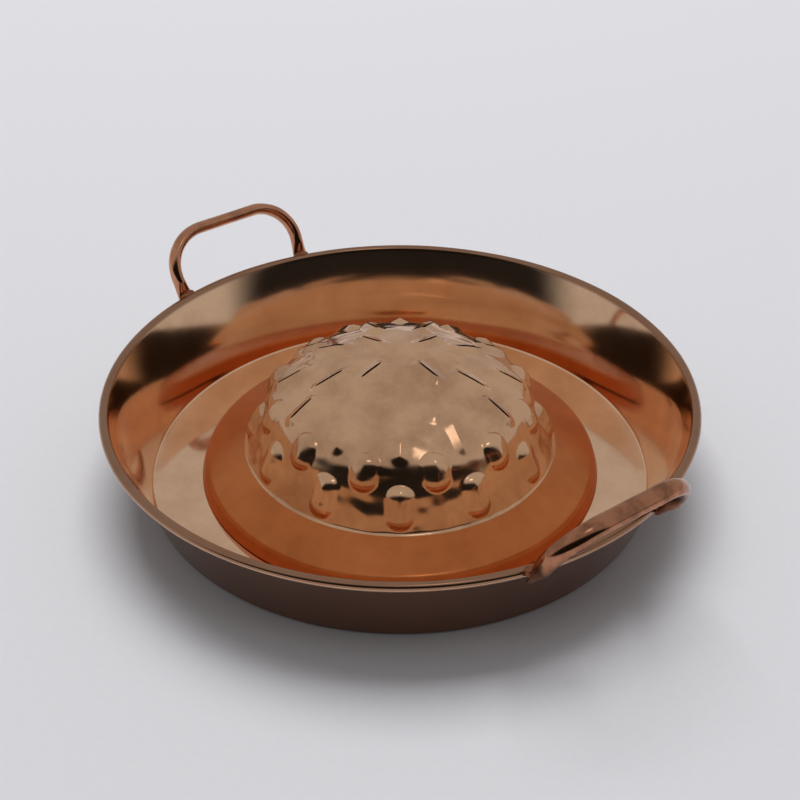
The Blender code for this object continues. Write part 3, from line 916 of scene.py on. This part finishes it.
@dataclass
class RodHandle:
    """One bent rod handle, pressed oval along its bar and thin at its toes, and the braze at each toe."""

    label: str
    turn: float
    back_side: int
    finish: CopperFinish
    half_depth: float = 3.2 * MM
    half_breadth: float = 4.5 * MM
    toe_half_width: float = 4.3 * MM
    toe_half_thickness: float = 1.7 * MM
    toe_length: float = 12.0 * MM
    toe_radius: float = 151.2 * MM
    toe_height: float = 44.0 * MM
    toe_span: float = 38.1 * MM
    bar_span: float = 41.9 * MM
    bar_distance: float = 163.4 * MM
    bar_height: float = 74.7 * MM
    knee: float = 22.0 * MM
    braze_center: tuple[float, float] = (149.5 * MM, 47.2 * MM)
    braze_half: tuple[float, float, float] = (2.9 * MM, 4.3 * MM, 2.3 * MM)
    around: int = 32

    def toe(self, side: int) -> np.ndarray:
        """Lower end of a leg's centre line, outside the rim bead."""
        out = math.sqrt(self.toe_radius**2 - self.toe_span**2)
        return np.array([out, side * self.toe_span, self.toe_height])

    def lean(self) -> np.ndarray:
        """Unit direction from midway between the toes to the middle of the bar."""
        middle = (self.toe(-1) + self.toe(1)) / 2
        way = np.array([self.bar_distance, 0.0, self.bar_height]) - middle
        return way / np.linalg.norm(way)

    def path(self) -> np.ndarray:
        """Centre line of the rod: two legs, two round bends and the bar.

        Returns:
            Points as rows, about 0.8 mm apart.
        """
        knees = [np.array([self.bar_distance, side * self.bar_span, self.bar_height]) for side in (-1, 1)]
        parts = [self.toe(-1)[None, :]]
        for before, corner, after in ((self.toe(-1), *knees), (*knees, self.toe(1))):
            into = (before - corner) / np.linalg.norm(before - corner)
            away = (after - corner) / np.linalg.norm(after - corner)
            half = math.acos(float(into @ away)) / 2
            middle = corner + (into + away) / np.linalg.norm(into + away) * self.knee / math.sin(half)
            first = corner + into * self.knee / math.tan(half) - middle
            last = corner + away * self.knee / math.tan(half) - middle
            sweep = math.pi - 2 * half
            t = np.linspace(0.0, sweep, 24)[:, None]
            parts.append(middle + (first * np.sin(sweep - t) + last * np.sin(t)) / math.sin(sweep))
        parts.append(self.toe(1)[None, :])
        return respaced(np.concatenate(parts), 0.8 * MM)

    def build_rod(self) -> bpy.types.Object:
        """Carry an oval section along the path, deeper than wide along the bar and flat at the toes.

        The section is centre + a cos(t) side + b sin(t) normal. Over the length of a toe, a and b go
        from the toe's half width and half thickness to the bar's half depth and half breadth.

        Returns:
            The rod, with its ends closed.
        """
        line = self.path()
        along = np.gradient(line, axis=0)
        along /= np.linalg.norm(along, axis=1, keepdims=True)
        normal = np.cross(np.array([0.0, 1.0, 0.0]), self.lean())
        side = np.cross(along, normal)
        side /= np.linalg.norm(side, axis=1, keepdims=True)
        near = 1.0 - smooth_step((line - self.toe(1)) @ self.lean(), 0.0, self.toe_length)
        wide = self.half_depth + (self.toe_half_width - self.half_depth) * near
        deep = self.half_breadth + (self.toe_half_thickness - self.half_breadth) * near
        t = np.arange(self.around) * TURN / self.around
        section = wide[:, None, None] * np.cos(t)[None, :, None] * side[:, None, :]
        section = section + deep[:, None, None] * np.sin(t)[None, :, None] * normal
        dents = 1.0 + 0.016 * ripple(line[:, None, :] + section, 14.0 * MM, 21)
        points = (line[:, None, :] + section * dents[..., None]).reshape(-1, 3)
        quads = ring_faces(len(line), self.around, False)
        points = np.concatenate([points, line[:1], line[-1:]])
        ends = [pole_faces(len(points) - 2, 0, self.around, True)]
        ends.append(pole_faces(len(points) - 1, (len(line) - 1) * self.around, self.around, False))
        return mesh_object(f"{self.label}_rod", self.turned(points), [quads, np.concatenate(ends)], 60.0)

    def turned(self, points: np.ndarray) -> np.ndarray:
        """Turn points about Z to this handle's side of the pan."""
        cosine, sine = math.cos(self.turn), math.sin(self.turn)
        return points @ np.array([[cosine, sine, 0.0], [-sine, cosine, 0.0], [0.0, 0.0, 1.0]])

    def build_braze(self, name: str, side: int) -> bpy.types.Object:
        """A drop of braze in the notch between a leg and the rim bead: an uneven ellipsoid.

        Its points are centre + a sin(p) cos(t) radial + b sin(p) sin(t) tangent + c cos(p) up.

        Args:
            name: Name of the piece.
            side: Which leg, -1 or 1.

        Returns:
            The drop, sunk into the leg and the bead.
        """
        rows, columns = 15, 40
        toe = self.toe(side)
        bearing = math.atan2(toe[1], toe[0])
        radial = np.array([math.cos(bearing), math.sin(bearing), 0.0])
        tangent = np.array([-math.sin(bearing), math.cos(bearing), 0.0])
        center = radial * self.braze_center[0] + np.array([0.0, 0.0, self.braze_center[1]])
        p = (np.arange(rows) + 1.0)[:, None, None] * math.pi / (rows + 1)
        t = (np.arange(columns) * TURN / columns)[None, :, None]
        deep, wide, high = self.braze_half
        ball = deep * np.sin(p) * np.cos(t) * radial + wide * np.sin(p) * np.sin(t) * tangent
        ball = ball + np.array([0.0, 0.0, high]) * np.cos(p)
        ball = ball * (1.0 + 0.05 * ripple(center + ball, 4.0 * MM, 31 + side))[..., None]
        ends = np.array([[0.0, 0.0, high], [0.0, 0.0, -high]])
        flat = center + np.concatenate([ball.reshape(-1, 3), ends])
        poles = [pole_faces(len(flat) - 2, 0, columns, True)]
        poles.append(pole_faces(len(flat) - 1, (rows - 1) * columns, columns, False))
        faces = [ring_faces(rows, columns, False), np.concatenate(poles)]
        return mesh_object(name, self.turned(flat), faces, 60.0)

    def build(self) -> None:
        """Make and dress the rod and both brazes."""
        rod = self.build_rod()
        dress(rod, self.finish.build())
        fit(rod, Body.PAN, Slot.HANDLE_COPPER, f"{self.label}_handle")
        for place, side in (("front", -self.back_side), ("back", self.back_side)):
            braze = self.build_braze(f"{self.label}_{place}_fillet", side)
            dress(braze, BRAZE_FINISH.build())
            fit(braze, Body.PAN, Slot.BRAZE, f"{self.label}_handle_{place}_braze")


@dataclass
class Studio:
    """Pale floor, even light and the photograph's camera; bearings count from the front, anticlockwise."""

    front: float = math.radians(-37.0)
    elevation: float = math.radians(34.54)
    distance: float = 0.76685
    aim: tuple[float, float, float] = (0.0, 0.0, 0.0405)
    focal_px: float = 1515.3
    picture_px: float = 800.0
    sensor_mm: float = 36.0
    floor_half: float = 6.0
    floor_color: str = "#CFCFD3"
    floor_fiber: str = "#CBCBCF"
    room_bright: float = 0.47
    room_dark: float = 0.015

    def direction(self, bearing: float, elevation: float) -> Vector:
        """Unit direction at a bearing from the camera's side, in degrees, and an elevation."""
        angle = self.front + math.radians(bearing)
        level = math.cos(math.radians(elevation))
        return Vector((level * math.cos(angle), level * math.sin(angle), math.sin(math.radians(elevation))))

    def build_camera(self) -> None:
        """Place the camera at the photograph's angle, distance and field of view."""
        data = bpy.data.cameras.new("photo_camera")
        data.sensor_width = self.sensor_mm
        data.lens = self.sensor_mm * self.focal_px / self.picture_px
        data.clip_start = 0.01
        camera = bpy.data.objects.new("photo_camera", data)
        bpy.context.scene.collection.objects.link(camera)
        away = self.direction(0.0, math.degrees(self.elevation))
        camera.location = Vector(self.aim) + away * self.distance
        camera.rotation_euler = away.to_track_quat("Z", "Y").to_euler()
        bpy.context.scene.camera = camera

    def build_floor(self) -> None:
        """Lay a wide matt floor under the pan."""
        half = self.floor_half
        points = np.array([[-half, -half, 0.0], [half, -half, 0.0], [half, half, 0.0], [-half, half, 0.0]])
        floor = mesh_object("studio_floor", points, [np.array([[0, 1, 2, 3]])])
        material = bpy.data.materials.new("matt_paper")
        material.use_nodes = True
        tree = material.node_tree
        shader = tree.nodes["Principled BSDF"]
        place = add_node(tree, "ShaderNodeTexCoord").outputs["Object"]
        inputs = {"Vector": place, "Scale": 260.0, "Detail": 3.0}
        noise = add_node(tree, "ShaderNodeTexNoise", inputs).outputs[0]
        tone = add_node(
            tree,
            "ShaderNodeMix",
            {"Factor": noise, "A": linear(self.floor_fiber), "B": linear(self.floor_color)},
            data_type="RGBA",
        )
        tree.links.new(tone.outputs["Result"], shader.inputs["Base Color"])
        shader.inputs["Roughness"].default_value = 0.9
        shader.inputs["Specular IOR Level"].default_value = 0.1
        dress(floor, material)

    def build_world(self) -> None:
        """Light the room: pale behind and above, dark on the camera's side."""
        world = bpy.data.worlds.new("studio_room")
        bpy.context.scene.world = world
        world.use_nodes = True
        tree = world.node_tree
        ground = tree.nodes["Background"]
        way = add_node(tree, "ShaderNodeTexCoord").outputs["Generated"]
        toward = self.direction(0.0, 0.0)
        inputs = {0: way, 1: (toward.x, toward.y, -0.6)}
        facing = add_node(tree, "ShaderNodeVectorMath", inputs, operation="DOT_PRODUCT")
        shade = add_node(
            tree,
            "ShaderNodeMapRange",
            {"Value": facing.outputs["Value"], "From Min": 0.12, "From Max": 0.40},
            interpolation_type="SMOOTHSTEP",
        )
        tone = add_node(
            tree,
            "ShaderNodeMix",
            {"Factor": shade.outputs[0], "A": gray(self.room_bright), "B": gray(self.room_dark)},
            data_type="RGBA",
        )
        tree.links.new(tone.outputs["Result"], ground.inputs["Color"])
        ground.inputs["Strength"].default_value = 1.0

    def add_softbox(
        self, name: str, bearing: float, elevation: float, away: float, size: float, power: float, seen: bool
    ) -> None:
        """Hang a square soft light that points at the pan.

        Args:
            name: Name of the light.
            bearing: Bearing from the camera's side in degrees.
            elevation: Elevation in degrees.
            away: Distance from the pan in metres.
            size: Side of the light in metres.
            power: Power in watts.
            seen: Whether the metal mirrors it.
        """
        data = bpy.data.lights.new(name, "AREA")
        data.shape = "SQUARE"
        data.size = size
        data.energy = power
        light = bpy.data.objects.new(name, data)
        bpy.context.scene.collection.objects.link(light)
        light.visible_glossy = seen
        way = self.direction(bearing, elevation)
        light.location = way * away
        light.rotation_euler = way.to_track_quat("Z", "Y").to_euler()

    def build(self) -> None:
        """Build the camera, the floor, the room and the lights."""
        bpy.context.scene.view_settings.view_transform = "Standard"
        self.build_camera()
        self.build_floor()
        self.build_world()
        self.add_softbox("back_key", 188.0, 66.0, 4.5, 3.0, 175.0, seen=False)
        self.add_softbox("ceiling_panel", 22.0, 66.0, 1.7, 0.34, 0.42, seen=True)


def main() -> None:
    """Build the studio and every piece of the pan."""
    logging.basicConfig(level=logging.INFO, format="%(message)s")
    Studio().build()
    PanSheet().build()
    GrillDome().build()
    RodHandle("right", 0.0, 1, DARK_HANDLE_FINISH).build()
    RodHandle("left", math.pi, -1, HANDLE_FINISH).build()


if __name__ == "__main__":
    main()
